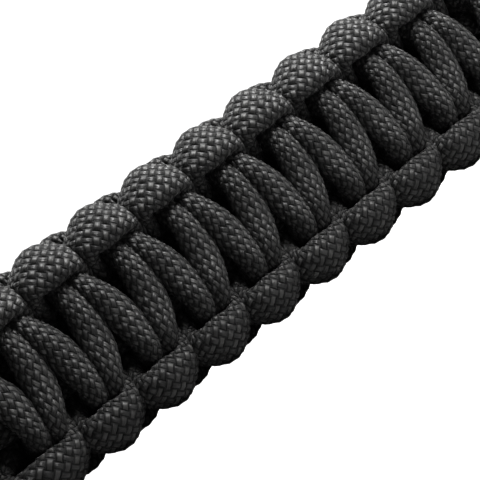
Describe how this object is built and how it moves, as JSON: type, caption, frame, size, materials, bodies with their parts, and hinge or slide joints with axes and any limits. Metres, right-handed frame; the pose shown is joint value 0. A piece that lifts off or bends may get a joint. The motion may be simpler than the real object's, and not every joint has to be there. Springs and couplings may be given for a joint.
{
  "type": "knotted cord bracelet",
  "caption": "Flat bracelet knotted from two braided cords round a pair of core cords, closed by one plain curved clasp.",
  "frame": {"origin": "middle of the bounding box's base, where the bracelet's lower edge rests on the floor", "axes": "+Z is the loop's axis and points up, +X runs along the straight front stretch, and the front stretch faces -Y"},
  "size_m": [0.108, 0.054, 0.0237],
  "materials": {
    "braided_cord": "braided nylon, charcoal black with a soft sheen",
    "core_cord": "braided nylon, charcoal black",
    "clasp_plastic": "fine matt black"
  },
  "bodies": {
    "root": {"front_strand": "braided_cord", "back_strand": "braided_cord", "core_cords": "core_cord", "clasp": "clasp_plastic"}
  },
  "joints": []
}
